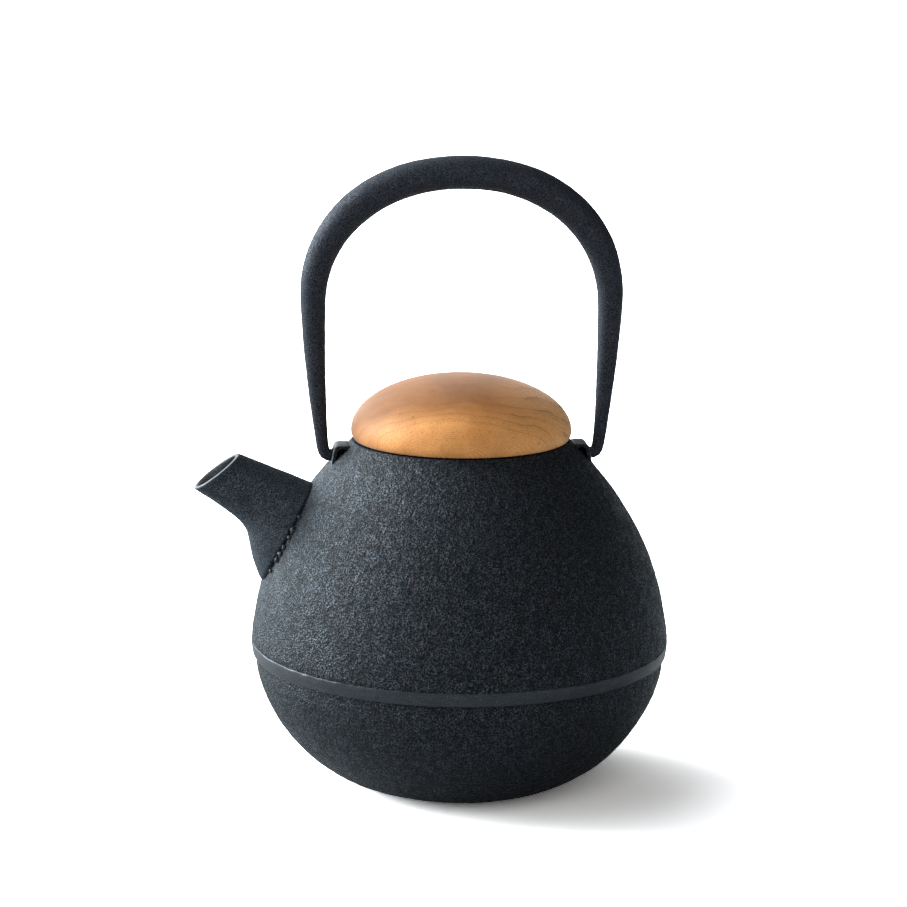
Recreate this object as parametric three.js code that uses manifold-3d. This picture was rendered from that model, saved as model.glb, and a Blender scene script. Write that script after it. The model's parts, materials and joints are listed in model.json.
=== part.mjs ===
// A small cast-iron teapot with a turned wooden lid, a swinging bail handle and a tea basket.
// Millimetres, +Z up. The origin is the centre of the flat base, the spout points along -X
// and the upright bail lies in the XZ plane.
import * as THREE from "three";
import { mergeVertices } from "three/addons/utils/BufferGeometryUtils.js";
import Module from "manifold-3d";

const wasm = await Module();
wasm.setup();

// ---- driving dimensions ----

const TURN_SIDES = 48; // facets round a turned piece
const GAP = 0.3; // clearance between pieces that rest on each other

// Pot shell: the bowl and the shoulder are curves through four (radius, height) control points
const WALL = 3.5;
const RIB = { r: 72, root: 0.2, bottom: 45.6, top: 50.2, round: 0.6 };
const RIM = { r: 37.5, z: 119.4, edge: 0.5 };
const BOWL = [
  [30, 0],
  [53.3, 3],
  [70, 27.4],
  [70.9, 45.4],
];
const SHOULDER = [
  [71.6, 50.4],
  [70.4, 75.1],
  [58.3, 99.3],
  [RIM.r, RIM.z - RIM.edge],
];
const MOUTH_R = 33.6;
const LEDGE_Z = 116.6;
const NECK = { r: 31.2, bottom: 109.5 };

// Bail hinge: one pin axis through both ears
const PIN = { r: 2, z: 114.2, tip: 40, holeR: 2.5, holeEnd: 39.3, holeOut: 52 };
const EAR = {
  halfWidth: 4.8,
  round: 0.5,
  top: 118.2,
  innerX: 38.3,
  brow: { x: 43.2, z: 116.6 },
  foot: { x: 45.8, z: 110.5 },
  wall: 1.5,
};

// Bail: half of its centre line from the crown to the hook, as (x, z) control points of three
// curves that share their ends, and its section, which slims from the crown to the pins
const HOOK_X = 45;
const BAIL_LINE = [
  [0, 210.3],
  [31.2, 210.3],
  [50.5, 191],
  [50.5, 167.3],
  [50.5, 154.2],
  [49, 131.3],
  [47.6, 119.3],
  [47.3, 116.6],
  [47, PIN.z],
  [HOOK_X, PIN.z],
];
const BAIL_SECTION = { thick: 11.3, deep: 14, slimFrom: 30, slimTo: 135 };

// Spout, seen from the side: a straight upper edge and a curved lower edge, root to mouth
const SPOUT_TOP = [
  [-50.1, 104.1],
  [-75.8, 114.9],
];
const SPOUT_UNDER = [
  [-67.4, 71.6],
  [-78.8, 92.6],
  [-64.3, 84.5],
  [-91.3, 103.2],
];
const SPOUT = {
  rootWidthShare: 0.75,
  mouthWidthShare: 0.94,
  rootWall: 2.4,
  mouthWall: 1.7,
  inwardX: 13.6,
  inwardZ: -3.4,
  cutPastMouth: 6,
};

// Lid
const LID = { edgeR: 36.9, edge: 0.4, r: 37.7, bottom: 119.8, widest: 122.6, dome: 19 };
const PLATE = { r: 30.5, bottom: 119.9, top: 121.4 };
const SKIRT = { r: 28.4, wall: 1.4, bottom: 113.5, edge: 0.4 };
const SCREW = {
  count: 3,
  firstTurn: 0.25,
  circleR: 18,
  headR: 2.9,
  headHeight: 1.6,
  slot: { length: 3.2, width: 0.7 },
  shankR: 1.15,
  length: 8,
  point: 1.5,
};

// Tea basket
const BASKET = { rimR: 33.2, r: 29.4, sheet: 0.5, edge: 0.3, rimThick: 1.2, bottom: 48, baseThick: 0.6 };

// ---- materials ----

const iron = () => new THREE.MeshStandardMaterial({ color: 0x2e3135, roughness: 0.85, metalness: 0.35 });
const smoothIron = () => new THREE.MeshStandardMaterial({ color: 0x25272a, roughness: 0.7, metalness: 0.35 });
const wood = () => new THREE.MeshStandardMaterial({ color: 0xb07a48, roughness: 0.45, metalness: 0 });
const steel = () => new THREE.MeshStandardMaterial({ color: 0xb8babb, roughness: 0.3, metalness: 1 });

// ---- helpers ----

// A closed three.js geometry as a manifold solid with its faces pointing out.
function solidOf(geometry) {
  const bare = new THREE.BufferGeometry().setAttribute("position", geometry.getAttribute("position"));
  bare.setIndex(geometry.index);
  const merged = mergeVertices(bare, 1e-4);
  const corners = merged.index.array;
  const turned = signedVolume(merged) < 0;
  const kept = [];
  for (let i = 0; i < corners.length; i += 3) {
    const [a, b, c] = corners.slice(i, i + 3);
    if (a === b || b === c || c === a) continue;
    kept.push(...(turned ? [a, c, b] : [a, b, c]));
  }
  return new wasm.Manifold(
    new wasm.Mesh({
      numProp: 3,
      vertProperties: merged.getAttribute("position").array,
      triVerts: new Uint32Array(kept),
    }),
  );
}

function signedVolume(geometry) {
  const position = geometry.getAttribute("position");
  const corner = (i) => new THREE.Vector3().fromBufferAttribute(position, geometry.index.getX(i));
  let sum = 0;
  for (let i = 0; i < geometry.index.count; i += 3) {
    sum += corner(i).dot(corner(i + 1).cross(corner(i + 2))) / 6;
  }
  return sum;
}

function meshOf(name, solid, material) {
  const { vertProperties, triVerts } = solid.getMesh();
  const indexed = new THREE.BufferGeometry()
    .setAttribute("position", new THREE.BufferAttribute(vertProperties, 3))
    .setIndex(new THREE.BufferAttribute(triVerts, 1));
  const geometry = indexed.toNonIndexed();
  geometry.computeVertexNormals();
  const mesh = new THREE.Mesh(geometry, material);
  mesh.name = name;
  return mesh;
}

const at = (r, z) => new THREE.Vector2(r, z);

// A profile of (radius, height) points turned about the Z axis.
function turned(profile, sides = TURN_SIDES) {
  return solidOf(new THREE.LatheGeometry(profile, sides).rotateX(Math.PI / 2));
}

function cylinder(r, bottom, top, sides = 24) {
  const geometry = new THREE.CylinderGeometry(r, r, top - bottom, sides).rotateX(Math.PI / 2);
  return solidOf(geometry.translate(0, 0, (bottom + top) / 2));
}

// A curve's points moved sideways to its left, for a wall of even thickness.
function besideCurve(curve, distance, divisions) {
  return curve.getSpacedPoints(divisions).map((point, i) => {
    const tangent = curve.getTangentAt(i / divisions);
    return at(point.x - tangent.y * distance, point.y + tangent.x * distance);
  });
}

// A solid through a row of elliptical sections, each a centre with its two half axes.
function loft(sections, sides = 24) {
  const circle = [];
  for (let i = 0; i < sides; i++) {
    const angle = (i / sides) * 2 * Math.PI;
    circle.push(at(Math.cos(angle), Math.sin(angle)));
  }
  const steps = sections.length - 1;
  const geometry = new THREE.ExtrudeGeometry(new THREE.Shape(circle), {
    depth: steps,
    steps,
    bevelEnabled: false,
  });
  const position = geometry.getAttribute("position");
  for (let i = 0; i < position.count; i++) {
    const { centre, across, aside } = sections[Math.round(position.getZ(i))];
    const place = centre
      .clone()
      .addScaledVector(across, position.getX(i))
      .addScaledVector(aside, position.getY(i));
    position.setXYZ(i, place.x, place.y, place.z);
  }
  return solidOf(geometry);
}

// ---- pot shell ----

const BOWL_STEPS = 8;
const SHOULDER_STEPS = 11;
const bowlCurve = new THREE.CubicBezierCurve(...BOWL.map(([r, z]) => at(r, z)));
const shoulderCurve = new THREE.CubicBezierCurve(...SHOULDER.map(([r, z]) => at(r, z)));

// The outside of the shell from the base to the rim, grown by a distance.
function outerProfile(growth) {
  return [
    ...besideCurve(bowlCurve, -growth, BOWL_STEPS),
    at(RIB.r - RIB.root + growth, RIB.bottom),
    at(RIB.r + growth, RIB.bottom + RIB.round),
    at(RIB.r + growth, RIB.top - RIB.round),
    at(RIB.r - RIB.root + growth, RIB.top),
    ...besideCurve(shoulderCurve, -growth, SHOULDER_STEPS),
    at(RIM.r - RIM.edge + growth, RIM.z + growth),
  ];
}

// A solid that fills the pot's outside, with the clearance a joined piece keeps from it.
function potEnvelope() {
  return turned([at(0, -GAP), ...outerProfile(GAP), at(0, RIM.z + GAP)]);
}

function potBody() {
  const inside = [
    ...besideCurve(bowlCurve, WALL, BOWL_STEPS),
    ...besideCurve(shoulderCurve, WALL, SHOULDER_STEPS),
  ];
  const cavity = inside.filter((point) => point.y < NECK.bottom).reverse();
  const shell = turned([
    at(0, 0),
    ...outerProfile(0),
    at(MOUTH_R, RIM.z),
    at(MOUTH_R, LEDGE_Z),
    at(NECK.r, LEDGE_Z),
    at(NECK.r, NECK.bottom),
    ...cavity,
    at(0, WALL),
  ]);
  return shell.subtract(spoutBore()).subtract(pinHole(1)).subtract(pinHole(-1));
}

// ---- spout ----

const inPlane = ([x, z]) => new THREE.Vector3(x, 0, z);
const spoutTopEdge = new THREE.LineCurve3(...SPOUT_TOP.map(inPlane));
const spoutUnderEdge = new THREE.CubicBezierCurve3(...SPOUT_UNDER.map(inPlane));

// The spout's section a share t of the way from root to mouth, thinned by the wall.
function spoutSection(t, hollow) {
  const top = spoutTopEdge.getPoint(t);
  const under = spoutUnderEdge.getPoint(t);
  const wall = hollow ? THREE.MathUtils.lerp(SPOUT.rootWall, SPOUT.mouthWall, t) : 0;
  const widthShare = THREE.MathUtils.lerp(SPOUT.rootWidthShare, SPOUT.mouthWidthShare, t);
  const across = top.clone().sub(under).multiplyScalar(0.5);
  const halfWidth = widthShare * across.length() - wall;
  return {
    centre: top.clone().add(under).multiplyScalar(0.5),
    across: across.setLength(across.length() - wall),
    aside: new THREE.Vector3(0, halfWidth, 0),
  };
}

function shifted(section, shift) {
  return { ...section, centre: section.centre.clone().add(shift) };
}

function spoutSections(hollow, steps = 14) {
  const sections = [];
  for (let i = 0; i <= steps; i++) sections.push(spoutSection(i / steps, hollow));
  const inward = new THREE.Vector3(SPOUT.inwardX, 0, SPOUT.inwardZ);
  return [shifted(sections[0], inward), ...sections];
}

function spoutBore() {
  const sections = spoutSections(true);
  const mouth = sections.at(-1);
  const outward = mouth.across.clone().cross(mouth.aside).setLength(SPOUT.cutPastMouth);
  return loft([...sections, shifted(mouth, outward)]);
}

function spout() {
  return loft(spoutSections(false)).subtract(spoutBore()).subtract(potEnvelope());
}

// ---- ears and bail ----

// The hole for one of the bail's pins, on the side towards +X (1) or -X (-1).
function pinHole(side) {
  const hole = cylinder(PIN.holeR, PIN.holeEnd, PIN.holeOut);
  return hole.rotate([0, side * 90, 0]).translate([0, 0, PIN.z]);
}

// A hooded lug, open to the front and back: a cap that leaves the shoulder beside the lid and
// a plate that comes down to the shoulder further out, with the pin hole through the plate.
function ear(side) {
  const { halfWidth, top, innerX, brow, foot, wall, round } = EAR;
  const hood = new THREE.Shape();
  hood.moveTo(innerX, brow.z);
  hood.quadraticCurveTo(innerX, top, innerX + wall, top);
  hood.quadraticCurveTo(brow.x - round, top, brow.x, brow.z);
  hood.lineTo(foot.x, foot.z);
  hood.lineTo(foot.x - wall, foot.z);
  hood.lineTo(brow.x - wall, brow.z - round);
  hood.quadraticCurveTo(brow.x - wall, top - wall, innerX + wall, top - wall);
  const lug = new THREE.ExtrudeGeometry(hood, {
    depth: 2 * (halfWidth - round),
    bevelThickness: round,
    bevelSize: round,
    bevelOffset: -round,
    bevelSegments: 2,
    curveSegments: 4,
  });
  lug.rotateX(Math.PI / 2).translate(0, halfWidth - round, 0);
  if (side < 0) lug.rotateZ(Math.PI);
  return solidOf(lug).subtract(potEnvelope()).subtract(pinHole(side));
}

// Half of the bail's centre line, from the crown to the tip of the pin at +X.
function bailCurve() {
  const half = new THREE.CurvePath();
  for (let i = 0; i + 3 < BAIL_LINE.length; i += 3) {
    half.add(new THREE.CubicBezierCurve3(...BAIL_LINE.slice(i, i + 4).map(inPlane)));
  }
  half.add(new THREE.LineCurve3(inPlane([HOOK_X, PIN.z]), inPlane([PIN.tip, PIN.z])));
  return half;
}

function bail(steps = 36) {
  const { thick, deep, slimFrom, slimTo } = BAIL_SECTION;
  const half = bailCurve();
  const length = half.getLength();
  const sectionAt = (i) => {
    const share = Math.abs(i) / steps;
    const side = Math.sign(i) || 1;
    const centre = half.getPointAt(share);
    const tangent = half.getTangentAt(share);
    const slimming = THREE.MathUtils.smoothstep(share * length, slimFrom, slimTo);
    const thickness = THREE.MathUtils.lerp(thick, 2 * PIN.r, slimming);
    const depth = THREE.MathUtils.lerp(deep, 2 * PIN.r, slimming);
    return {
      centre: centre.setX(centre.x * side),
      across: new THREE.Vector3(tangent.z * side, 0, -tangent.x).multiplyScalar(-thickness / 2),
      aside: new THREE.Vector3(0, depth / 2, 0),
    };
  };
  const sections = [];
  for (let i = -steps; i <= steps; i++) sections.push(sectionAt(i));
  return loft(sections, 16);
}

// ---- lid ----

const screwPlaces = Array.from({ length: SCREW.count }, (_, i) => {
  const angle = (i / SCREW.count + SCREW.firstTurn) * 2 * Math.PI;
  return [SCREW.circleR * Math.cos(angle), SCREW.circleR * Math.sin(angle), 0];
});

function lidDome(steps = 14) {
  const { edgeR, edge, r, bottom, widest, dome } = LID;
  const crown = [];
  for (let i = 0; i <= steps; i++) {
    const angle = (i / steps) * (Math.PI / 2);
    crown.push(at(r * Math.cos(angle), widest + dome * Math.sin(angle)));
  }
  const recessTop = PLATE.top + GAP;
  const blank = turned([
    at(0, recessTop),
    at(PLATE.r + GAP, recessTop),
    at(PLATE.r + GAP, bottom),
    at(edgeR - edge, bottom),
    at(edgeR, bottom + edge),
    at(r - edge / 2, widest - 3 * edge),
    ...crown,
  ]);
  const pilot = cylinder(SCREW.shankR + GAP, recessTop - 1, PLATE.bottom + SCREW.length + 1, 12);
  return screwPlaces.reduce((lid, place) => lid.subtract(pilot.translate(place)), blank);
}

function lidLiner() {
  const { edge } = SKIRT;
  const skirtInner = SKIRT.r - SKIRT.wall;
  const blank = turned([
    at(0, PLATE.bottom),
    at(skirtInner, PLATE.bottom),
    at(skirtInner, SKIRT.bottom + edge),
    at(skirtInner + edge, SKIRT.bottom),
    at(SKIRT.r - edge, SKIRT.bottom),
    at(SKIRT.r, SKIRT.bottom + edge),
    at(SKIRT.r, PLATE.bottom),
    at(PLATE.r, PLATE.bottom),
    at(PLATE.r, PLATE.top),
    at(0, PLATE.top),
  ]);
  const hole = cylinder(SCREW.shankR + GAP, PLATE.bottom - 1, PLATE.top + 1, 12);
  return screwPlaces.reduce((plate, place) => plate.subtract(hole.translate(place)), blank);
}

// A pan-head screw pointing up into the wood, with a cross recess in its head.
function lidScrew(place) {
  const { headR, headHeight, slot, shankR, length, point } = SCREW;
  const seat = PLATE.bottom - GAP;
  const bottom = seat - headHeight;
  const blank = turned(
    [
      at(0, bottom),
      at(headR * 0.65, bottom),
      at(headR * 0.92, bottom + headHeight * 0.3),
      at(headR, bottom + headHeight * 0.65),
      at(headR, seat),
      at(shankR, seat),
      at(shankR, seat + length - point),
      at(0, seat + length),
    ],
    18,
  );
  const bar = (x, y) => solidOf(new THREE.BoxGeometry(x, y, headHeight).translate(0, 0, bottom));
  const cross = bar(slot.length, slot.width).add(bar(slot.width, slot.length));
  return blank.subtract(cross).translate(place);
}

// ---- tea basket ----

const basketInner = BASKET.r - BASKET.sheet;
const rimBottom = LEDGE_Z + GAP;

function basketRim() {
  const { rimR, rimThick, edge } = BASKET;
  const top = rimBottom + rimThick;
  return turned([
    at(basketInner, rimBottom),
    at(rimR - edge, rimBottom),
    at(rimR, rimBottom + edge),
    at(rimR, top - edge),
    at(rimR - edge, top),
    at(basketInner + edge, top),
    at(basketInner, top - edge),
    at(basketInner, rimBottom),
  ]);
}

function basketWall() {
  const bottom = BASKET.bottom + BASKET.baseThick + GAP;
  const top = rimBottom - GAP;
  return turned([
    at(basketInner, bottom),
    at(BASKET.r, bottom),
    at(BASKET.r, top),
    at(basketInner, top),
    at(basketInner, bottom),
  ]);
}

function basketBase() {
  const { r, bottom, baseThick, edge } = BASKET;
  return turned([
    at(0, bottom),
    at(r - edge, bottom),
    at(r, bottom + edge),
    at(r, bottom + baseThick),
    at(0, bottom + baseThick),
  ]);
}

// ---- the teapot ----

const teapot = new THREE.Group();
teapot.add(
  meshOf("pot_body", potBody(), iron()),
  meshOf("spout", spout(), smoothIron()),
  meshOf("ear_spout_side", ear(-1), iron()),
  meshOf("ear_back_side", ear(1), iron()),
  meshOf("bail_handle", bail(), smoothIron()),
  meshOf("lid_dome", lidDome(), wood()),
  meshOf("lid_liner", lidLiner(), steel()),
  ...screwPlaces.map((place, i) => meshOf(`lid_screw_${i + 1}`, lidScrew(place), steel())),
  meshOf("basket_rim", basketRim(), steel()),
  meshOf("basket_wall", basketWall(), steel()),
  meshOf("basket_base", basketBase(), steel()),
);

export default teapot;
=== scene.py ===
"""A small cast-iron teapot: rough shell, fine-cast spout and bail, turned wooden lid, tea basket."""

import json
import math

import bpy
import numpy as np
from mathutils import Matrix, Vector, noise


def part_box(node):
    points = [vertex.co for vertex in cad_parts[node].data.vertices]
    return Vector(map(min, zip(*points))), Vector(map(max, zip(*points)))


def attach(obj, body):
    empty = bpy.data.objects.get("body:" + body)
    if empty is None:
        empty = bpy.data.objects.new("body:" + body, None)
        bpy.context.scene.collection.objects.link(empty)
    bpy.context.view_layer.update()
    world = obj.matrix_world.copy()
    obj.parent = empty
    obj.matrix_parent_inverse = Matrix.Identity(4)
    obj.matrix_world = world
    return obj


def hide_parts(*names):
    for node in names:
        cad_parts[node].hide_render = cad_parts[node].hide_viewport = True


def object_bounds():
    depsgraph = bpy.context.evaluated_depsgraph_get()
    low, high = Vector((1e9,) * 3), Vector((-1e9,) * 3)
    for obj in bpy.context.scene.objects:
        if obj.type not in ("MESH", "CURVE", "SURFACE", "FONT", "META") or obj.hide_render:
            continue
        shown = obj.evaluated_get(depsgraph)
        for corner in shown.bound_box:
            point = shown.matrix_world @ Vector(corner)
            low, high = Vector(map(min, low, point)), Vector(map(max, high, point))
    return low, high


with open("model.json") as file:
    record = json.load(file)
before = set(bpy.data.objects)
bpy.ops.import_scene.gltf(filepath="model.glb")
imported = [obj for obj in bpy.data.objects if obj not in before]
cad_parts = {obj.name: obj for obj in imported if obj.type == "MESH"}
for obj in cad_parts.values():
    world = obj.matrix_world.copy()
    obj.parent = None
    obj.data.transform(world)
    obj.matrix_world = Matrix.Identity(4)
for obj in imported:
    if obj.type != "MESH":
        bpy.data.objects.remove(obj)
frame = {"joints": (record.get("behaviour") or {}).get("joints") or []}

cad_low, cad_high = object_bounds()

MM = 0.001
AXIS = 0.02  # the radius, in millimetres, at which a turned profile starts and ends

# ---- places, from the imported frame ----

pot_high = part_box("pot_body")[1]
ear_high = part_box("ear_back_side")[1]
lid_low, lid_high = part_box("lid_dome")
liner_low, liner_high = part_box("lid_liner")
rim_low, rim_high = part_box("basket_rim")
wall_low, wall_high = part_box("basket_wall")
floor_low, floor_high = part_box("basket_base")
hinge = next(joint for joint in frame["joints"] if joint["name"] == "bail_hinge")
PIN_Z = hinge["pos_m"][2]

# ---- mesh helpers ----


def mesh_object(name, points, faces):
    """A smooth-shaded object of these points, in metres, and faces."""
    mesh = bpy.data.meshes.new(name)
    mesh.from_pydata([tuple(p) for p in points], [], faces)
    mesh.update()
    mesh.polygons.foreach_set("use_smooth", [True] * len(mesh.polygons))
    made = bpy.data.objects.new(name, mesh)
    bpy.context.scene.collection.objects.link(made)
    return made


def on_curve(a, b, c, d, t):
    """The point a share t along a cubic curve, or the points for a column of shares."""
    a, b, c, d = (np.array(p, float) for p in (a, b, c, d))
    return (1 - t) ** 3 * a + 3 * (1 - t) ** 2 * t * b + 3 * (1 - t) * t**2 * c + t**3 * d


def bezier(a, b, c, d, steps):
    """Points of a cubic curve, both ends included."""
    return on_curve(a, b, c, d, np.linspace(0, 1, steps + 1)[:, None])


def full_circle(sides):
    """Evenly spaced angles round a circle, in radians."""
    return np.arange(sides) / sides * 2 * math.pi


def spaced(points, step):
    """The same path with points about one step apart."""
    points = np.array(points, float)
    run = np.r_[0, np.cumsum(np.linalg.norm(np.diff(points, axis=0), axis=1))]
    count = max(1, round(run[-1] / step))
    at = np.linspace(0, run[-1], count + 1)
    return np.column_stack([np.interp(at, run, column) for column in points.T])


def arc(centre, radius, start, end, steps):
    """Points on a circle in the profile's plane, angles in degrees."""
    angle = np.radians(np.linspace(start, end, steps + 1))
    return np.column_stack([centre[0] + radius * np.cos(angle), centre[1] + radius * np.sin(angle)])


def beside(points, distance):
    """A profile moved sideways to its left."""
    along = np.gradient(np.array(points, float), axis=0)
    along /= np.linalg.norm(along, axis=1)[:, None]
    return np.array(points) + distance * np.column_stack([-along[:, 1], along[:, 0]])


def rings_mesh(name, rings, ends):
    """A skin over rows of points: closed (a cap at each end) or joined (the last row meets the first)."""
    rings = np.array(rings, float)
    rows, sides = rings.shape[:2]
    points = list(rings.reshape(-1, 3))
    faces = []
    last = rows if ends == "joined" else rows - 1
    for row in range(last):
        near, far = row * sides, (row + 1) % rows * sides
        for side in range(sides):
            after = (side + 1) % sides
            faces.append((near + side, near + after, far + after, far + side))
    if ends == "closed":
        for row, turn in ((0, -1), (rows - 1, 1)):
            centre = len(points)
            points.append(rings[row].mean(axis=0))
            for side in range(sides):
                pair = (row * sides + side, row * sides + (side + 1) % sides)
                faces.append((centre, *pair[::turn]))
    return mesh_object(name, points, faces)


def turned(name, profile, sides, ends="closed"):
    """A profile of (radius, height) in millimetres turned about the Z axis."""
    profile = np.array(profile, float) * MM
    angle = full_circle(sides)
    rings = [
        np.column_stack([r * np.cos(angle), r * np.sin(angle), np.full(sides, z)]) for r, z in profile
    ]
    return rings_mesh(name, rings, ends)


def cut(piece, cutter):
    """Takes the cutter's space out of the piece and removes the cutter."""
    step = piece.modifiers.new("cut", "BOOLEAN")
    step.operation = "DIFFERENCE"
    step.solver = "MANIFOLD"
    step.object = cutter
    bpy.context.view_layer.update()
    evaluated = piece.evaluated_get(bpy.context.evaluated_depsgraph_get())
    cut_mesh = bpy.data.meshes.new_from_object(evaluated)
    piece.modifiers.clear()
    piece.data = cut_mesh
    bpy.data.objects.remove(cutter)


def smoothstep(value, low, high):
    """0 up to low, 1 from high on, and a smooth rise between them."""
    share = np.clip((value - low) / (high - low), 0, 1)
    return share * share * (3 - 2 * share)


def wobble(points, size, depth, seed):
    """Smooth noise at each point, in metres, with bumps about one size across."""
    shift = Vector((seed * 17.3, seed * 5.1, seed * 9.7))
    return depth * np.array([noise.noise(Vector(p) / size + shift) for p in points])


def inside_box(points):
    """The points, none further out than the CAD model's box."""
    return np.clip(points, np.array(cad_low), np.array(cad_high))


def coordinates(piece):
    """The piece's points as rows of (x, y, z)."""
    flat = np.zeros(len(piece.data.vertices) * 3)
    piece.data.vertices.foreach_get("co", flat)
    return flat.reshape(-1, 3)


def directions(piece):
    """The outward direction at each of the piece's points."""
    flat = np.zeros(len(piece.data.vertices) * 3)
    piece.data.vertices.foreach_get("normal", flat)
    return flat.reshape(-1, 3)


def set_coordinates(piece, points):
    piece.data.vertices.foreach_set("co", np.array(points, float).ravel())
    piece.data.update()


# ---- material helpers ----


class Surface:
    """A node material under construction, in object coordinates (metres)."""

    def __init__(self, name, roughness, metallic=0.0, specular=0.5):
        self.material = bpy.data.materials.new(name)
        self.material.use_nodes = True
        self.tree = self.material.node_tree
        self.tree.nodes.clear()
        self.shader = self.node("ShaderNodeBsdfPrincipled")
        self.shader.inputs["Roughness"].default_value = roughness
        self.shader.inputs["Metallic"].default_value = metallic
        self.shader.inputs["Specular IOR Level"].default_value = specular
        output = self.node("ShaderNodeOutputMaterial")
        self.link(self.shader.outputs["BSDF"], output.inputs["Surface"])
        self.place = self.node("ShaderNodeTexCoord").outputs["Object"]

    def node(self, kind, **settings):
        made = self.tree.nodes.new(kind)
        for key, value in settings.items():
            setattr(made, key, value)
        return made

    def link(self, source, target):
        self.tree.links.new(source, target)

    def feed(self, target, value):
        """Links a socket, or sets a plain value."""
        if isinstance(value, bpy.types.NodeSocket):
            self.link(value, target)
        else:
            target.default_value = value

    def noise(self, size, detail=3, roughness=0.55, place=None):
        """Soft noise with blotches about one size across, in metres."""
        made = self.node("ShaderNodeTexNoise")
        self.link(place or self.place, made.inputs["Vector"])
        made.inputs["Scale"].default_value = 1 / size
        made.inputs["Detail"].default_value = detail
        made.inputs["Roughness"].default_value = roughness
        return made.outputs["Fac"]

    def math(self, operation, a, b=0.0):
        made = self.node("ShaderNodeMath", operation=operation)
        for socket, value in zip(made.inputs, (a, b)):
            self.feed(socket, value)
        return made.outputs["Value"]

    def span(self, value, low, high, to_low=0.0, to_high=1.0):
        """Stretches low..high onto to_low..to_high and holds it there outside that range."""
        made = self.node("ShaderNodeMapRange")
        for name, given in (
            ("Value", value), ("From Min", low), ("From Max", high),
            ("To Min", to_low), ("To Max", to_high),
        ):
            self.feed(made.inputs[name], given)
        return made.outputs["Result"]

    def mix(self, share, a, b):
        """Colour a at share 0 and colour b at share 1."""
        made = self.node("ShaderNodeMix", data_type="RGBA")
        self.feed(made.inputs[0], share)
        for socket, value in ((made.inputs[6], a), (made.inputs[7], b)):
            self.feed(socket, value if isinstance(value, bpy.types.NodeSocket) else (*value, 1))
        return made.outputs[2]

    def mapped(self, scale=(1, 1, 1), turn=(0, 0, 0), shift=(0, 0, 0)):
        made = self.node("ShaderNodeMapping")
        self.link(self.place, made.inputs["Vector"])
        made.inputs["Scale"].default_value = scale
        made.inputs["Rotation"].default_value = turn
        made.inputs["Location"].default_value = shift
        return made.outputs["Vector"]

    def separate(self, place=None):
        made = self.node("ShaderNodeSeparateXYZ")
        self.link(place or self.place, made.inputs[0])
        return made.outputs

    def bump(self, height, distance, strength=1.0, under=None):
        """Relief as deep as distance, on top of the relief under it."""
        made = self.node("ShaderNodeBump")
        made.inputs["Strength"].default_value = strength
        made.inputs["Distance"].default_value = distance
        self.feed(made.inputs["Height"], height)
        if under is not None:
            self.link(under, made.inputs["Normal"])
        return made.outputs["Normal"]

    def colour(self, value):
        self.feed(self.shader.inputs["Base Color"], value)

    def finish(self, normal=None, roughness=None):
        if normal is not None:
            self.link(normal, self.shader.inputs["Normal"])
        if roughness is not None:
            self.feed(self.shader.inputs["Roughness"], roughness)
        return self.material


# ---- materials ----


def cast_iron(name, grain, cool, warm, speck, roughness, depth, pebbles=0.0, glint=0.6):
    """Sand-cast iron in metres: bare grains that glint on a mottled blue-black and brown-black skin."""
    s = Surface(name, roughness, specular=0.14)
    s.shader.inputs["Specular Tint"].default_value = (0.72, 0.88, 1, 1)
    fine = s.noise(grain, detail=1.2, roughness=0.55)
    coarse = s.noise(2.2 * grain, detail=1.0)
    mottle = s.span(s.noise(5 * MM, detail=3), 0.35, 0.65)
    pits = s.span(s.noise(2.6 * MM, detail=2.5), 0.36, 0.5)
    tint = s.mix(s.span(s.noise(6 * MM, detail=2), 0.4, 0.6), cool, warm)
    skin = s.mix(s.span(fine, 0.36, 0.5), tuple(0.15 * c for c in cool), tint)
    worn = s.math("MULTIPLY", s.span(mottle, 0, 1, 0.6, 1.0), s.span(pits, 0, 1, 0.4, 1.0))
    specks = s.math("MULTIPLY", s.span(fine, 0.48, 0.62), worn)
    rusty = tuple(c * share for c, share in zip(speck, (1.15, 0.92, 0.82)))
    bare = s.mix(s.span(s.noise(1.3 * MM, detail=2), 0.45, 0.6), speck, rusty)
    s.colour(s.mix(specks, skin, bare))
    s.link(s.math("MULTIPLY", specks, glint), s.shader.inputs["Metallic"])
    normal = s.bump(coarse, 1.6 * depth, 0.6)
    normal = s.bump(fine, depth, 1.0, under=normal)
    if pebbles:
        normal = s.bump(pits, pebbles, 0.7, under=normal)
    return s.finish(normal, s.span(specks, 0, 1, roughness + 0.3, roughness - 0.1))


def ground_iron(name, dark, light):
    """Iron ground smooth, with faint level marks in it."""
    s = Surface(name, roughness=0.42, specular=0.3)
    s.shader.inputs["Specular Tint"].default_value = (0.8, 0.92, 1, 1)
    marks = s.noise(0.7 * MM, detail=3, place=s.mapped(scale=(0.16, 0.16, 1.6)))
    fine = s.noise(0.35 * MM, detail=2)
    blotch = s.span(s.noise(4 * MM, detail=2), 0.35, 0.65)
    skin = s.mix(s.span(marks, 0.35, 0.65), dark, light)
    skin = s.mix(s.span(fine, 0.55, 0.68, 0, 0.6), skin, tuple(2.7 * c for c in light))
    s.colour(s.mix(s.math("MULTIPLY", blotch, 0.45), skin, tuple(1.8 * c for c in dark)))
    s.link(s.span(marks, 0.4, 0.7, 0.1, 0.5), s.shader.inputs["Metallic"])
    normal = s.bump(fine, 0.05 * MM, 0.7)
    normal = s.bump(marks, 0.05 * MM, 0.6, under=normal)
    return s.finish(normal, s.span(marks, 0.3, 0.7, 0.46, 0.36))


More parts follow.
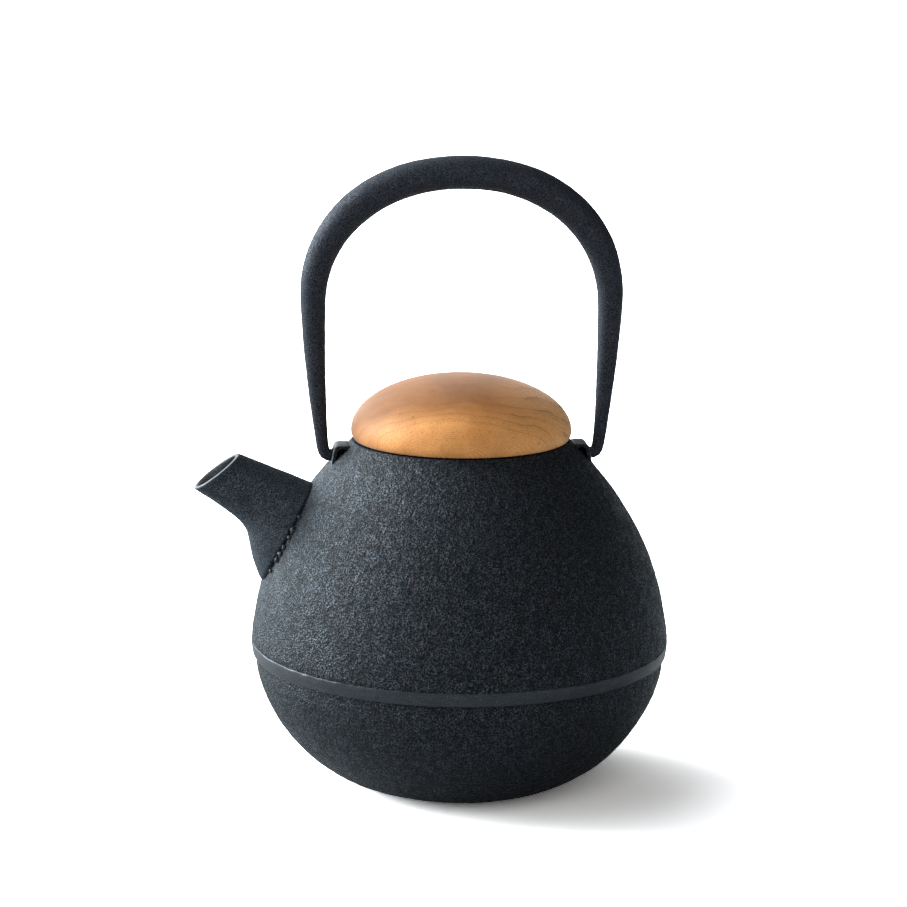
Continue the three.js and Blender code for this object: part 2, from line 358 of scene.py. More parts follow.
# Colours of the wood. The two of a pair lie in patches.
BROWN_WOOD = (0.16, 0.056, 0.0068), (0.23, 0.083, 0.0108)
PALE_WOOD = (0.46, 0.196, 0.05), (0.59, 0.27, 0.082)
# The colour the wood pales to towards +X, the side away from the key light: painted light.
PAINTED_LIGHT_WOOD = (0.64, 0.32, 0.11)
RING_COLOUR, THIN_RING_COLOUR = (0.17, 0.062, 0.016), (0.26, 0.1, 0.026)
FIBRE_COLOUR, PORE_COLOUR, MARK_COLOUR = (0.28, 0.11, 0.03), (0.17, 0.065, 0.02), (0.1, 0.034, 0.012)
RING_WIDTH, THIN_RING_WIDTH = 1.75 * MM, 0.58 * MM


def turned_wood():
    """Plain-sawn cherry: growth rings about a horizontal pith below the lid, with small dark marks, and
    painted light that makes it paler towards +X.
    """
    s = Surface("turned_wood", roughness=0.6, specular=0.26)
    s.shader.inputs["Sheen Weight"].default_value = 0.15
    s.shader.inputs["Sheen Roughness"].default_value = 0.4
    pith = s.mapped(
        scale=(0.42, 1, 1),
        shift=(-1 * MM, 0, -118 * MM),
        turn=(math.radians(3), 0, math.radians(4)),
    )
    x, y, z = s.separate(pith)
    drift = s.math("SUBTRACT", s.noise(20 * MM, detail=3, roughness=0.45), 0.5)
    sway = s.math("MULTIPLY", drift, 4.5 * MM)
    radius = s.math("SQRT", s.math("ADD", s.math("MULTIPLY", x, x), s.math("MULTIPLY", z, z)))
    radius = s.math("ADD", radius, sway)
    rings = s.math("FRACT", s.math("DIVIDE", radius, RING_WIDTH))
    outer_rings = s.span(radius, 11.6 * MM, 12.6 * MM, 0.12, 1.0)
    late = s.math("MULTIPLY", s.math("POWER", rings, 4.0), outer_rings)
    strength = s.span(s.noise(9 * MM, detail=2), 0.35, 0.7, 0.2, 0.85)
    thin_rings = s.math("POWER", s.math("FRACT", s.math("DIVIDE", radius, THIN_RING_WIDTH)), 2.6)
    along = s.mapped(scale=(1, 0.12, 1))
    fibre = s.noise(0.45 * MM, detail=3, place=along)
    pores = s.noise(0.3 * MM, detail=1, place=s.mapped(scale=(1, 0.3, 1)))
    clouds = s.span(s.noise(12 * MM, detail=3), 0.35, 0.65)
    brown = s.mix(clouds, *BROWN_WOOD)
    patches = s.span(s.noise(8 * MM, detail=3), 0.35, 0.65)
    pale = s.mix(patches, *PALE_WOOD)
    warm = s.mix(s.span(radius, 11 * MM, 17 * MM), pale, brown)
    # Painted light: paler towards +X, on the side away from the key light.
    warm = s.mix(s.span(x, 4 * MM, 14 * MM), warm, PAINTED_LIGHT_WOOD)
    ringed = s.mix(s.math("MULTIPLY", late, strength), warm, RING_COLOUR)
    broken = s.span(s.noise(6 * MM, detail=3), 0.4, 0.68, 0.08, 0.6)
    ringed = s.mix(s.math("MULTIPLY", thin_rings, broken), ringed, THIN_RING_COLOUR)
    fibred = s.mix(s.span(fibre, 0.5, 0.75, 0, 0.6), ringed, FIBRE_COLOUR)
    pored = s.mix(s.span(pores, 0.58, 0.73, 0, 0.65), fibred, PORE_COLOUR)
    marks = s.noise(2.4 * MM, detail=2, place=s.mapped(scale=(1, 0.5, 0.5)))
    s.colour(s.mix(s.span(marks, 0.7, 0.77, 0, 0.65), pored, MARK_COLOUR))
    normal = s.bump(fibre, 0.02 * MM, 0.5)
    return s.finish(normal, s.span(fibre, 0.3, 0.7, 0.56, 0.66))


def brushed_steel(name, around, tone=1.0):
    """Stainless steel, brushed round the Z axis or left plain."""
    s = Surface(name, roughness=0.28, metallic=1.0)
    x, y, z = s.separate()
    radius = s.math("SQRT", s.math("ADD", s.math("MULTIPLY", x, x), s.math("MULTIPLY", y, y)))
    streaks = s.node("ShaderNodeCombineXYZ")
    s.link(radius if around else x, streaks.inputs[0])
    s.link(z, streaks.inputs[2])
    lines = s.noise(0.12 * MM, detail=2, place=streaks.outputs[0])
    dark = tuple(tone * c for c in (0.5, 0.5, 0.49))
    light = tuple(tone * c for c in (0.62, 0.62, 0.61))
    s.colour(s.mix(s.noise(12 * MM, detail=2), dark, light))
    return s.finish(s.bump(lines, 0.01 * MM, 0.6), s.span(lines, 0.3, 0.7, 0.2, 0.36))


IRON = cast_iron(
    "rough_iron", grain=0.48 * MM, roughness=0.36, depth=0.42 * MM, pebbles=0.16 * MM, glint=0.9,
    cool=(0.0015, 0.003, 0.004), warm=(0.0038, 0.0032, 0.0038), speck=(0.048, 0.061, 0.076),
)
BELT_IRON = ground_iron("belt_iron", dark=(0.006, 0.0072, 0.0095), light=(0.026, 0.0305, 0.036))
# Lighter ground iron for the ears' up- and outward-facing faces: a painted highlight.
EAR_PAINTED_HIGHLIGHT_IRON = ground_iron("ear_iron_painted_highlight", dark=(0.03, 0.034, 0.035), light=(0.085, 0.092, 0.097))
# Lighter ground iron for the spout's lip and the first rows of its bore: partly a ground lip, partly
# painted light where light falls into the mouth.
MOUTH_PAINTED_LIGHT_IRON = ground_iron("mouth_iron_painted_light", dark=(0.026, 0.03, 0.033), light=(0.07, 0.077, 0.084))
SPOUT_IRON = cast_iron(
    "spout_iron", grain=0.36 * MM, roughness=0.38, depth=0.11 * MM,
    cool=(0.0135, 0.0205, 0.0285), warm=(0.0165, 0.02, 0.026), speck=(0.066, 0.084, 0.105),
)
BAIL_IRON = cast_iron(
    "bail_iron", grain=0.32 * MM, roughness=0.48, depth=0.06 * MM,
    cool=(0.013, 0.0175, 0.025), warm=(0.0165, 0.0165, 0.022), speck=(0.04, 0.047, 0.06),
)
WOOD = turned_wood()
STEEL = brushed_steel("brushed_steel", around=True)
WIRE_STEEL = brushed_steel("steel_wire", around=False, tone=0.6)


def dress(piece, body, nodes, material):
    """Gives a piece its material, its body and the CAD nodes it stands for."""
    piece.data.materials.clear()
    piece.data.materials.append(material)
    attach(piece, body)
    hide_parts(*nodes)


# ---- pot shell ----

# The pieces' sizes are in millimetres. A curve here is four control points, each (radius, height).
WALL = 3.5
SHELL_SIDES = 448
BOWL = [(30, 0), (53.3, 3), (70, 27.4), (70.9, 45.4)]
SHOULDER = [(71.6, 50.4), (70.4, 75.1), (58.3, 99.3), (37.5, 118.9)]
BELT_R = pot_high.x / MM
BELT_LOW, BELT_HIGH = 45.6, 50.2
RIM_Z = pot_high.z / MM
LEDGE_Z = rim_low.z / MM - 0.3
MOUTH_R = rim_high.x / MM + 0.4
NECK_R = 31.2
NECK_BOTTOM = 109.5
bowl_line = bezier(*BOWL, 200)
shoulder_line = bezier(*SHOULDER, 200)


def shell_radius(z):
    """The smooth shell's outer radius at a height, both in millimetres."""
    heights = np.r_[bowl_line[:, 1], shoulder_line[:, 1]]
    radii = np.r_[bowl_line[:, 0], shoulder_line[:, 0]]
    return np.interp(z, heights, radii)


def pot_profile():
    """The shell's outline from the centre of the base, up the outside and down the inside."""
    belt_face = [
        (BELT_R - 0.3, BELT_LOW + 1),
        (BELT_R - 0.05, BELT_LOW + 2.6),
        (BELT_R - 0.05, BELT_HIGH - 0.8),
    ]
    belt = np.vstack([
        [(70.4, BELT_LOW - 0.1)],
        arc((BELT_R - 0.75, BELT_LOW + 0.4), 0.38, 265, 350, 3),
        spaced(belt_face, 0.6),
        arc((BELT_R - 0.32, BELT_HIGH - 0.3), 0.28, 10, 80, 3),
        [(71.7, BELT_HIGH + 0.1)],
    ])
    inside_bowl = beside(bowl_line, WALL)
    inside_shoulder = beside(shoulder_line, WALL)
    inside = np.vstack([inside_bowl, inside_shoulder])
    inside = inside[inside[:, 1] < NECK_BOTTOM]
    rim = np.vstack([
        arc((37.1, RIM_Z - 0.5), 0.5, 40, 90, 3),
        [(MOUTH_R + 0.4, RIM_Z)],
        [(MOUTH_R, RIM_Z - 0.4), (MOUTH_R, LEDGE_Z + 0.1), (MOUTH_R - 0.2, LEDGE_Z)],
        [(NECK_R + 0.3, LEDGE_Z), (NECK_R, LEDGE_Z - 0.3), (NECK_R, NECK_BOTTOM + 0.5)],
        [(NECK_R + 0.5, NECK_BOTTOM)],
    ])
    return np.vstack([
        spaced([(AXIS, 0), (29, 0)], 4),
        spaced(bowl_line, 1.0)[1:],
        belt,
        spaced(shoulder_line, 0.9)[1:-1],
        rim,
        spaced(inside[::-1], 5),
        spaced([(28, WALL), (AXIS, WALL)], 7),
    ])


def pebble(piece):
    """Presses the sand-cast skin into the outside of the shell, leaving base, belt and rim smooth."""
    points = coordinates(piece)
    out = directions(piece)
    radius = np.hypot(points[:, 0], points[:, 1]) / MM
    height = points[:, 2] / MM
    outside = radius > shell_radius(height) - 0.6
    below, above = BELT_LOW - height, height - BELT_HIGH
    share = outside * smoothstep(np.maximum(below, above), -0.1, 0.5)
    share *= smoothstep(height, 0.0, 1.5) * (1 - smoothstep(height, RIM_Z - 1.2, RIM_Z - 0.4))
    grain = wobble(points, 2.6 * MM, 0.12 * MM, 1) + wobble(points, 1.7 * MM, 0.1 * MM, 2)
    swell = wobble(points, 7 * MM, 0.08 * MM, 3) + wobble(points, 22 * MM, 0.15 * MM, 4)
    tucked_in = 0.4 * MM * (below > 0) * (1 - smoothstep(below, 0.3, 7))
    flush = 0.3 * MM * (above > 0) * (1 - smoothstep(above, 0, 12))
    moved = points + out * ((grain + swell - tucked_in + flush) * share)[:, None]
    ragged = outside * (1 - smoothstep(np.abs(above + 0.2), 0.1, 0.7))
    moved += out * (wobble(points, 0.9 * MM, 0.22 * MM, 5) * ragged)[:, None]
    moved[:, 2] += wobble(points, 1.5 * MM, 0.4 * MM, 6) * ragged
    set_coordinates(piece, inside_box(moved))


def belt_faces(piece):
    """Gives the smooth belt round the shell its own finish."""
    piece.data.materials.append(BELT_IRON)
    for face in piece.data.polygons:
        x, y, z = face.center / MM
        if BELT_LOW < z < BELT_HIGH - 0.05 and math.hypot(x, y) > BELT_R - 0.8:
            face.material_index = 1


def pot_shell():
    """The cast shell, with the spout's bore and the bail's pin holes cut out of it."""
    piece = turned("pot_shell", pot_profile(), SHELL_SIDES)
    pebble(piece)
    cut(piece, spout_bore_plug())
    for side in (1, -1):
        cut(piece, pin_plug(side))
    dress(piece, "pot", ["pot_body"], IRON)
    belt_faces(piece)


# ---- spout ----

SPOUT_TOP = [(-50.1, 104.1), (-75.8, 114.9)]
SPOUT_UNDER = [(-68.6, 70.6), (-77.1, 91.3), (-65.7, 86.2), (-91.3, 103.2)]
SPOUT_SIDES = 96
ROOT_WIDTH_SHARE, MOUTH_WIDTH_SHARE = 0.75, 0.94
ROOT_WALL, MOUTH_WALL = 2.4, 1.7
BORE_START, BORE_END = -0.35, 1.15
FURTHEST_ROOT = 0.6
# How far the sections travel for a share of 1: (x, z) before the root, and a length past the mouth.
ROOT_RUN, MOUTH_RUN = (-40, 10), 40


def spout_ring(t, wall, sides=SPOUT_SIDES):
    """One section of the spout, a share t from root to mouth; below 0 it runs on into the pot."""
    share = np.clip(t, 0, 1)
    top = np.array(SPOUT_TOP[0]) + share * (np.array(SPOUT_TOP[1]) - np.array(SPOUT_TOP[0]))
    under = on_curve(*SPOUT_UNDER, share)
    half = np.linalg.norm(top - under) / 2
    lean = (top - under) / (2 * half)
    width = half * (ROOT_WIDTH_SHARE + (MOUTH_WIDTH_SHARE - ROOT_WIDTH_SHARE) * share)
    centre = (top + under) / 2
    if t < 0:
        centre = centre + t * np.array(ROOT_RUN)
    if t > 1:
        centre = centre + (t - 1) * MOUTH_RUN * np.array((-lean[1], lean[0]))
    angle = full_circle(sides)
    along = (half - wall) * np.cos(angle)
    aside = (width - wall) * np.sin(angle)
    return np.column_stack([centre[0] + lean[0] * along, aside, centre[1] + lean[1] * along])


def spout_wall(t):
    """The wall's thickness a share t along the spout."""
    return ROOT_WALL + (MOUTH_WALL - ROOT_WALL) * max(t, 0)


def spout_bore_plug():
    """The space inside the spout, to cut out of the shell."""
    rows = [spout_ring(t, spout_wall(t), 64) for t in np.linspace(BORE_START, BORE_END, 40)]
    return rings_mesh("spout_bore_plug", np.array(rows) * MM, "closed")


def root_share(side, wall):
    """How far along the spout one of its long lines leaves the shell's surface, found by halving."""
    halvings = 26
    low, high = BORE_START, FURTHEST_ROOT
    for _ in range(halvings):
        middle = (low + high) / 2
        x, y, z = spout_ring(middle, wall)[side]
        inside = math.hypot(x, y) < shell_radius(z) + 0.05
        low, high = (middle, high) if inside else (low, middle)
    return high


def spout():
    """The spout's skin from the joint at its root, out over the lip and back down the bore."""
    outer_root = np.array([root_share(i, 0) for i in range(SPOUT_SIDES)])
    bore_root = np.array([root_share(i, spout_wall(0)) for i in range(SPOUT_SIDES)])

    def row(roots, share, wall_of, narrow=None):
        points = []
        for i, root in enumerate(roots):
            t = root + (1 - root) * share
            points.append(spout_ring(t, wall_of(t) * (1 if narrow is None else narrow[i]))[i])
        return np.array(points)

    rows = []
    # The groove at the joint is deepest at the sides and faint along the top.
    upward = np.cos(full_circle(SPOUT_SIDES))
    groove = 1 - 0.8 * smoothstep(upward, 0.3, 1) - 0.5 * smoothstep(-upward, 0.5, 1)
    groove_rows = [(-0.01, 1.7), (0.006, 1.0), (0.018, 0.45), (0.03, 0.1)]
    skin_rows, bore_rows, painted_light_bore_rows = 74, 34, 9
    for share, depth in groove_rows:
        rows.append(row(outer_root, share, lambda t, d=depth: d, groove))
    for share in np.linspace(0.035, 0.985, skin_rows):
        rows.append(row(outer_root, share, lambda t: 0))
    first_lip_row = len(rows)
    lip = MOUTH_WALL
    rounded_lip = [(0.993, 0.04), (0.998, 0.18), (1.0, 0.45), (1.0, lip - 0.45), (0.998, lip - 0.15)]
    for share, depth in rounded_lip:
        rows.append(row(outer_root, share, lambda t, d=depth: d))
    for share in np.linspace(0.985, 0, bore_rows):
        rows.append(row(bore_root, share, spout_wall))
    piece = rings_mesh("spout_cast", np.array(rows) * MM, "joined")
    points = coordinates(piece)
    out = directions(piece)
    depth = wobble(points, 3 * MM, 0.05 * MM, 11) + wobble(points, 9 * MM, 0.1 * MM, 12)
    set_coordinates(piece, inside_box(points + out * depth[:, None]))
    dress(piece, "pot", ["spout"], SPOUT_IRON)
    # The lip and the bore rows nearest the mouth take the lighter finish: a ground lip, and painted light
    # inside the bore.
    piece.data.materials.append(MOUTH_PAINTED_LIGHT_IRON)
    painted_light_mouth_rows = range(first_lip_row, first_lip_row + len(rounded_lip) + painted_light_bore_rows)
    for face in piece.data.polygons:
        if face.index // SPOUT_SIDES in painted_light_mouth_rows:
            face.material_index = 1


def seam_beads():
    """Small irregular runs of metal left in the joint between spout and shell."""
    points, faces = [], []
    # (degrees round the spout from its top line, size of the bead) on the camera's side and beyond.
    near = [(-64, 0.85), (-80, 1.1), (-85, 0.85), (-97, 0.8), (-105, 1.05), (-114, 0.85), (-128, 0.7)]
    far = [(70, 0.6), (92, 0.95), (98, 0.7), (121, 0.8)]
    for index, (turn, size) in enumerate(near + far):
        line = round(turn / 360 * SPOUT_SIDES) % SPOUT_SIDES
        x, y, z = spout_ring(root_share(line, 0), -0.85)[line]
        x = -math.sqrt((shell_radius(z) + 0.35) ** 2 - y * y)
        start = len(points)
        ball, skin = bead(size, index)
        points.extend(ball + np.array((x, y, z)) * MM)
        faces.extend(tuple(start + corner for corner in face) for face in skin)
    piece = mesh_object("spout_seam_beads", points, faces)
    piece.data.materials.append(BELT_IRON)
    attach(piece, "pot")


def bead(size, seed):
    """A lumpy ball: its points in metres about its centre, and its faces."""
    rows, sides = 8, 12
    points = []
    for i in range(rows + 1):
        tilt = math.pi * i / rows
        for j in range(sides):
            turn = 2 * math.pi * j / sides
            flat = math.sin(tilt)
            point = Vector((flat * math.cos(turn), flat * math.sin(turn), math.cos(tilt)))
            lump = 1 + 0.45 * noise.noise(point * 1.3 + Vector((seed * 3.1, 0, 0)))
            stretch = 1.35 if seed % 2 else 0.85
            points.append((point.x * lump, point.y * lump, point.z * lump * stretch))
    faces = []
    for i in range(rows):
        for j in range(sides):
            after = (j + 1) % sides
            near, far = i * sides, (i + 1) * sides
            faces.append((near + j, far + j, far + after, near + after))
    return np.array(points) * size * MM, faces


# ---- ears ----


PIN_HOLE_R, PIN_HOLE_SIDES = 2.5, 32
PIN_HOLE_ENDS = (39.3, 52)


def pin_plug(side):
    """The space of the hole that one of the bail's pins turns in."""
    angle = full_circle(PIN_HOLE_SIDES)
    rows = [
        np.column_stack([
            np.full(PIN_HOLE_SIDES, side * x * MM),
            side * PIN_HOLE_R * MM * np.cos(angle),
            PIN_Z + PIN_HOLE_R * MM * np.sin(angle),
        ])
        for x in PIN_HOLE_ENDS
    ]
    return rings_mesh("pin_plug", rows, "closed")


def ear(side, name, node):
    """A hooded lug, open to the front and back: a flat cap and a plate down to the shell.

    The faces that point up or outwards get a lighter finish: a painted highlight where light falls on
    them.
    """
    top = ear_high.z / MM
    hood = np.vstack([
        [(37.6, top - 2.2), (37.9, top - 0.9)],
        bezier((38.2, top - 0.35), (38.6, top), (39.2, top), (39.8, top), 4),
        bezier((41.6, top), (42.9, top), (43.4, top - 0.5), (43.7, top - 1.5), 6),
        spaced([(44, top - 2.6), (44.9, top - 8.2)], 1.2),
        spaced([(43.3, top - 8.2), (42.3, top - 3)], 1.2),
        bezier((42, top - 2.3), (41.8, top - 1.7), (41.4, top - 1.5), (40.8, top - 1.5), 4),
        [(39.4, top - 2)],
    ])
    half = ear_high.y / MM
    corner = 0.45
    rows = []
    for turn in np.linspace(-90, 90, 13):
        lean = math.radians(turn)
        y = math.copysign(half - corner, lean) + corner * math.sin(lean)
        inset = beside(np.vstack([hood, hood[:1]]), -corner * (1 - math.cos(lean)))[:-1]
        rows.append(np.column_stack([side * inset[:, 0], np.full(len(hood), y), inset[:, 1]]))
    piece = rings_mesh(name, np.array(rows) * MM, "closed")
    if side < 0:
        piece.data.flip_normals()
    cut(piece, pin_plug(side))
    dress(piece, "pot", [node], IRON)
    piece.data.materials.append(EAR_PAINTED_HIGHLIGHT_IRON)
    # Painted highlight: faces that point up or outwards take the lighter ear finish.
    for face in piece.data.polygons:
        if face.normal.z > 0.5 or side * face.normal.x > 0.7:
            face.material_index = 1


# ---- bail ----

PIN_HEIGHT = PIN_Z / MM
HOOK_X, PIN_TIP_X = 45, 40
BAIL_PATH = [
    [(0, 210.3), (31.2, 210.3), (50.5, 191), (50.5, 167.3)],
    [(50.5, 167.3), (50.5, 154.2), (49, 131.3), (47.6, 119.3)],
    [(47.6, 119.3), (47.3, 116.6), (47, PIN_HEIGHT), (HOOK_X, PIN_HEIGHT)],
]
CROWN_THICK, CROWN_DEEP, PIN_R = 11.3, 14.0, 2.0
# Distances along the rod from the crown, between which it slims and the limb fills out and eases off.
SLIMS, FILLS, EASES = (30, 135), (62, 96), (104, 124)
LIMB_EXTRA = 0.55


def bail():
    """One rod from pin to pin over the crown, mirrored from the half at +X."""
    pin = [(HOOK_X, PIN_HEIGHT), (PIN_TIP_X, PIN_HEIGHT)]
    half = np.vstack([bezier(*part, 60)[:-1] for part in BAIL_PATH] + [pin])
    half = spaced(half, 1.1)
    run = np.r_[0, np.cumsum(np.linalg.norm(np.diff(half, axis=0), axis=1))]
    slim = smoothstep(run, *SLIMS)
    full = LIMB_EXTRA * smoothstep(run, *FILLS) * (1 - smoothstep(run, *EASES))
    thick = CROWN_THICK + (2 * PIN_R - CROWN_THICK) * slim + full
    deep = CROWN_DEEP + (2 * PIN_R - CROWN_DEEP) * slim
    along = np.gradient(half, axis=0)
    along /= np.linalg.norm(along, axis=1)[:, None]
    angle = full_circle(48)
    rows = []
    for i, (x, z) in enumerate(half):
        normal = np.array((-along[i, 1], along[i, 0]))
        up = normal * thick[i] / 2
        rows.append(np.column_stack([
            x + up[0] * np.cos(angle),
            -deep[i] / 2 * np.sin(angle),
            z + up[1] * np.cos(angle),
        ]))
    rows = np.array(rows)
    mirrored = rows[:0:-1] * np.array((-1, 1, 1))
    tip = rows[-1].mean(axis=0)
    rounded = [tip + (rows[-1] - tip) * s + np.array((-d, 0, 0)) for s, d in ((0.9, 0.25), (0.6, 0.45))]
    left_rounded = [ring * np.array((-1, 1, 1)) for ring in rounded[::-1]]
    piece = rings_mesh("bail", np.vstack([left_rounded, mirrored, rows, rounded]) * MM, "closed")
    points = coordinates(piece)
    out = directions(piece)
    depth = wobble(points, 4 * MM, 0.05 * MM, 21) + wobble(points, 14 * MM, 0.12 * MM, 22)
    set_coordinates(piece, inside_box(points + out * depth[:, None]))
    dress(piece, "bail", ["bail_handle"], BAIL_IRON)


# ---- lid ----


def lid_dome():
    """The wooden dome: a flat underside with a recess for the plate, a round edge and an oval crown."""
    bottom, apex, radius = lid_low.z / MM, lid_high.z / MM, lid_high.x / MM
    widest = bottom + 2.8
    angle = np.radians(np.linspace(0, 90, 61))
    crown = np.column_stack([radius * np.cos(angle), widest + (apex - widest) * np.sin(angle)])
    crown[-1, 0] = AXIS
    plate_r, plate_top = liner_high.x / MM + 0.3, liner_high.z / MM + 0.3
    edge = bezier((36.2, bottom), (36.9, bottom), (radius, widest - 1.4), (radius, widest), 10)
    profile = np.vstack([
        [(AXIS, plate_top), (plate_r - 0.3, plate_top), (plate_r, plate_top - 0.3)],
        [(plate_r, bottom + 0.4), (plate_r + 0.4, bottom)],
        edge[:-1],
        crown,
    ])
    piece = turned("lid_wood", profile, 128)
    dress(piece, "lid", ["lid_dome"], WOOD)


def lid_plate():
    """The steel plate under the wood, with the skirt that centres the lid in the mouth."""
    bottom, top, radius = liner_high.z / MM - 1.5, liner_high.z / MM, liner_high.x / MM
    foot = liner_low.z / MM
    outer, inner = 28.4, 27.0
    profile = np.vstack([
        [(AXIS, bottom), (inner - 0.6, bottom), (inner - 0.15, bottom - 0.15), (inner, bottom - 0.6)],
        [(inner, foot + 0.5)],
        arc(((inner + outer) / 2, foot + 0.5), 0.5 * (outer - inner), 180, 360, 6)[1:-1],
        [(outer, foot + 0.5), (outer, bottom)],
        [(radius - 0.3, bottom), (radius, bottom + 0.3), (radius, top - 0.3), (radius - 0.3, top)],
        [(AXIS, top)],
    ])
    profile[:, 1] = np.maximum(profile[:, 1], foot)
    piece = turned("lid_liner_plate", profile, 128)
    dress(piece, "lid", ["lid_liner"], STEEL)


def screw(number):
    """One of the lid's screws, with a cross in its head and a few turns of thread."""
    node = f"lid_screw_{number}"
    low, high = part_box(node)
    x, y = (low.x + high.x) / 2 / MM, (low.y + high.y) / 2 / MM
    bottom = low.z / MM
    seat = bottom + 1.6
    thread_turns, pitch, core, crest = 6, 0.9, 1.0, 1.15
    thread = []
    for turn in range(thread_turns):
        z = seat + 0.6 + turn * pitch
        thread.extend([(core, z), (crest, z + 0.3), (core, z + 0.6)])
    profile = np.vstack([
        bezier((AXIS, bottom), (1.4, bottom), (2.5, bottom + 0.2), (2.84, bottom + 1.1), 8),
        [(2.85, seat - 0.15), (2.7, seat), (core, seat)],
        thread,
        [(AXIS, high.z / MM)],
    ])
    piece = turned(f"lid_screw_{number}_head", profile, 32)
    for wide, deep in ((1.6, 0.35), (0.35, 1.6)):
        corners = []
        for z in (bottom - 1, bottom + 0.8):
            corners.append([(wide, deep, z), (-wide, deep, z), (-wide, -deep, z), (wide, -deep, z)])
        cut(piece, rings_mesh("cross_plug", np.array(corners) * MM, "closed"))
    set_coordinates(piece, coordinates(piece) + np.array((x, y, 0)) * MM)
    dress(piece, "lid", [node], STEEL)


# ---- tea basket ----


def basket_ring():
    """The flange that rests on the ledge in the pot's mouth."""
    low_z, high_z, radius = rim_low.z / MM, rim_high.z / MM, rim_high.x / MM
    inner = wall_high.x / MM - 0.5
    edge = (high_z - low_z) / 2
    profile = np.vstack([
        [(inner, low_z + 0.25), (inner + 0.25, low_z)],
        arc((radius - edge, low_z + edge), edge, 270, 450, 8),
        [(radius - 2 * edge, high_z - 0.3), (inner + 0.9, low_z + 0.55), (inner + 0.1, low_z + 0.5)],
    ])
    piece = turned("basket_flange", profile, 128, ends="joined")
    dress(piece, "basket", ["basket_rim"], STEEL)


def wire(path, radius, closed):
    """A three-sided wire along a path in millimetres: its points in metres, and its faces."""
    path = np.array(path)
    out = path.copy()
    out[:, 2] = 0
    out /= np.linalg.norm(out, axis=1)[:, None]
    along = np.roll(path, -1, axis=0) - path
    if not closed:
        along[-1] = along[-2]
    along /= np.linalg.norm(along, axis=1)[:, None]
    side = np.cross(along, out)
    points, faces = [], []
    for i, place in enumerate(path):
        for turn in (0, 120, 240):
            angle = math.radians(turn)
            spoke = math.cos(angle) * out[i] + math.sin(angle) * side[i]
            points.append((place + radius * spoke) * MM)
    rows = len(path)
    for i in range(rows if closed else rows - 1):
        for j in range(3):
            a, b = i * 3, (i + 1) % rows * 3
            faces.append((a + j, a + (j + 1) % 3, b + (j + 1) % 3, b + j))
    if not closed:
        faces.append((2, 1, 0))
        faces.append((rows * 3 - 3, rows * 3 - 2, rows * 3 - 1))
    return points, faces


def basket_mesh():
    """A woven sleeve: upright wires, and hoops that pass in front of and behind them."""
    low_z, high_z, radius = wall_low.z / MM, wall_high.z / MM, wall_high.x / MM
    middle = radius - 0.27
    uprights, hoops, wire_radius, depth = 120, 46, 0.17, 0.1
    lowest_hoop = low_z + 0.5
    pitch = (high_z - low_z - 1) / (hoops - 1)
    wires = []
    for i in range(uprights):
        angle = 2 * math.pi * i / uprights
        path = []
        for j in range(2 * hoops + 1):
            z = low_z + j * (high_z - low_z) / (2 * hoops)
            weave = depth * math.cos(math.pi * (z - lowest_hoop) / pitch + math.pi * i)
            path.append(((middle + weave) * math.cos(angle), (middle + weave) * math.sin(angle), z))
        wires.append(wire(path, wire_radius, closed=False))
    for j in range(hoops):
        z = lowest_hoop + j * pitch
        path = []
        for i in range(2 * uprights):
            angle = math.pi * i / uprights
            weave = -depth * math.cos(math.pi * i / 2 + math.pi * j)
            path.append(((middle + weave) * math.cos(angle), (middle + weave) * math.sin(angle), z))
        wires.append(wire(path, wire_radius, closed=True))
    points, faces = [], []
    for wire_points, wire_faces in wires:
        start = len(points)
        points.extend(wire_points)
        faces.extend(tuple(start + corner for corner in face) for face in wire_faces)
    piece = mesh_object("basket_weave", points, faces)
    dress(piece, "basket", ["basket_wall"], WIRE_STEEL)


def basket_cup():
    """The basket's stamped bottom."""
    low_z, high_z, radius = floor_low.z / MM, floor_high.z / MM, floor_high.x / MM
    profile = np.vstack([
        [(AXIS, low_z), (radius - 3, low_z), (radius - 0.5, low_z)],
        arc((radius - 0.3, (low_z + high_z) / 2), 0.3, 270, 450, 6),
        [(radius - 0.6, high_z), (radius - 3, high_z - 0.1), (AXIS, high_z - 0.1)],
    ])
    piece = turned("basket_bottom", profile, 128)
    dress(piece, "basket", ["basket_base"], STEEL)


# ---- the teapot ----

pot_shell()
spout()
seam_beads()
ear(-1, "ear_left", "ear_spout_side")
ear(1, "ear_right", "ear_back_side")
bail()
lid_dome()
lid_plate()
for number in (1, 2, 3):
    screw(number)
basket_ring()
basket_mesh()
basket_cup()

# ---- stage, lights and camera ----

FLOOR_EXPOSURE = 2.05
FLOOR_REACH = 40  # metres


def stage_floor():
    """White paper, overexposed as in a catalogue picture."""
    corners = [(-1, -1), (1, -1), (1, 1), (-1, 1)]
    points = [(x * FLOOR_REACH, y * FLOOR_REACH, 0) for x, y in corners]
    floor = mesh_object("floor", points, [(0, 1, 2, 3)])
    s = Surface("floor_paper", roughness=0.9, specular=0.0)
    paper = s.mix(s.noise(0.4, detail=2), (0.4, 0.404, 0.408), (0.42, 0.42, 0.42))
    seen = s.node("ShaderNodeLightPath").outputs["Is Camera Ray"]
    s.colour(s.mix(seen, paper, (FLOOR_EXPOSURE, FLOOR_EXPOSURE, FLOOR_EXPOSURE)))
    floor.data.materials.append(s.finish())


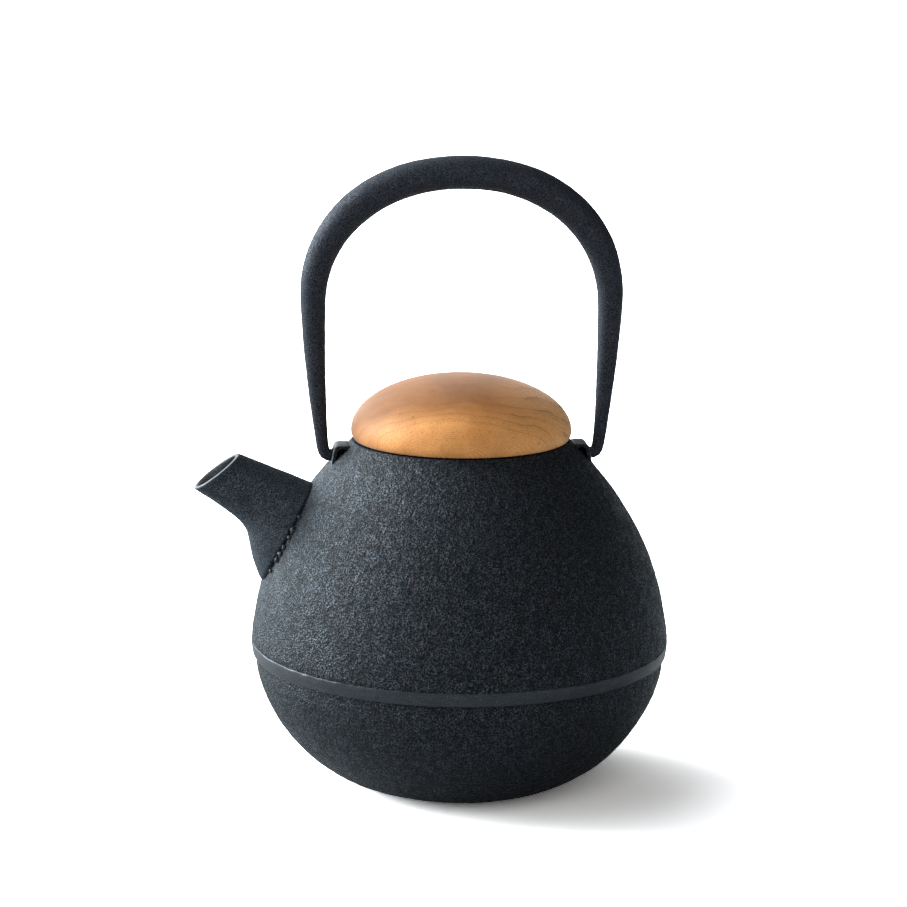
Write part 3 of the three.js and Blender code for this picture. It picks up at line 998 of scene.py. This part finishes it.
def white_world():
    """Bright towards the spout and the back, dim elsewhere, and plain white where the camera sees it."""
    world = bpy.data.worlds.new("studio")
    bpy.context.scene.world = world
    world.use_nodes = True
    tree = world.node_tree
    tree.nodes.clear()
    direction = tree.nodes.new("ShaderNodeTexCoord")
    side = tree.nodes.new("ShaderNodeVectorMath")
    side.operation = "DOT_PRODUCT"
    side.inputs[1].default_value = (-0.9, 0.36, 0.25)
    glow = tree.nodes.new("ShaderNodeMapRange")
    glow.interpolation_type = "SMOOTHSTEP"
    for name, value in (("From Min", 0.2), ("From Max", 0.88), ("To Min", 0.06), ("To Max", 3.3)):
        glow.inputs[name].default_value = value
    fill = tree.nodes.new("ShaderNodeBackground")
    fill.inputs["Color"].default_value = (0.94, 0.97, 1, 1)
    seen = tree.nodes.new("ShaderNodeBackground")
    seen.inputs["Color"].default_value = (1, 1, 1, 1)
    seen.inputs["Strength"].default_value = 1.0
    path = tree.nodes.new("ShaderNodeLightPath")
    mix = tree.nodes.new("ShaderNodeMixShader")
    output = tree.nodes.new("ShaderNodeOutputWorld")
    tree.links.new(direction.outputs["Generated"], side.inputs[0])
    tree.links.new(side.outputs["Value"], glow.inputs["Value"])
    tree.links.new(glow.outputs["Result"], fill.inputs["Strength"])
    tree.links.new(path.outputs["Is Camera Ray"], mix.inputs[0])
    tree.links.new(fill.outputs[0], mix.inputs[1])
    tree.links.new(seen.outputs[0], mix.inputs[2])
    tree.links.new(mix.outputs[0], output.inputs[0])


def soft_sun(name, azimuth, elevation, spread, power, colour):
    """Light from a broad patch of sky; azimuth runs from the camera's side round towards -X."""
    data = bpy.data.lights.new(name, "SUN")
    data.angle = math.radians(spread)
    data.energy = power
    data.color = colour
    lamp = bpy.data.objects.new(name, data)
    bpy.context.scene.collection.objects.link(lamp)
    turn, rise = math.radians(azimuth), math.radians(elevation)
    back = Vector((-math.sin(turn) * math.cos(rise), -math.cos(turn) * math.cos(rise), math.sin(rise)))
    lamp.location = back
    lamp.rotation_euler = back.to_track_quat("Z", "Y").to_euler()


def studio():
    soft_sun("key", 115, 24, 50, 9.6, (0.96, 1, 1))
    soft_sun("fill", -10, 17, 80, 1.45, (1, 0.98, 0.95))


def camera():
    data = bpy.data.cameras.new("camera")
    data.sensor_width = 36
    data.lens = 100.5
    made = bpy.data.objects.new("camera", data)
    bpy.context.scene.collection.objects.link(made)
    turn, pitch, roll = math.radians(-5.33), math.radians(11.37), math.radians(0.49)
    place = Matrix.Translation((-0.0815, -0.8461, 0.2851))
    aim = Matrix.Rotation(turn, 4, "Z") @ Matrix.Rotation(math.pi / 2 - pitch, 4, "X")
    made.matrix_world = place @ aim @ Matrix.Rotation(roll, 4, "Z")
    bpy.context.scene.camera = made


stage_floor()
white_world()
studio()
camera()
bpy.context.scene.view_settings.view_transform = "Standard"
bpy.context.view_layer.update()
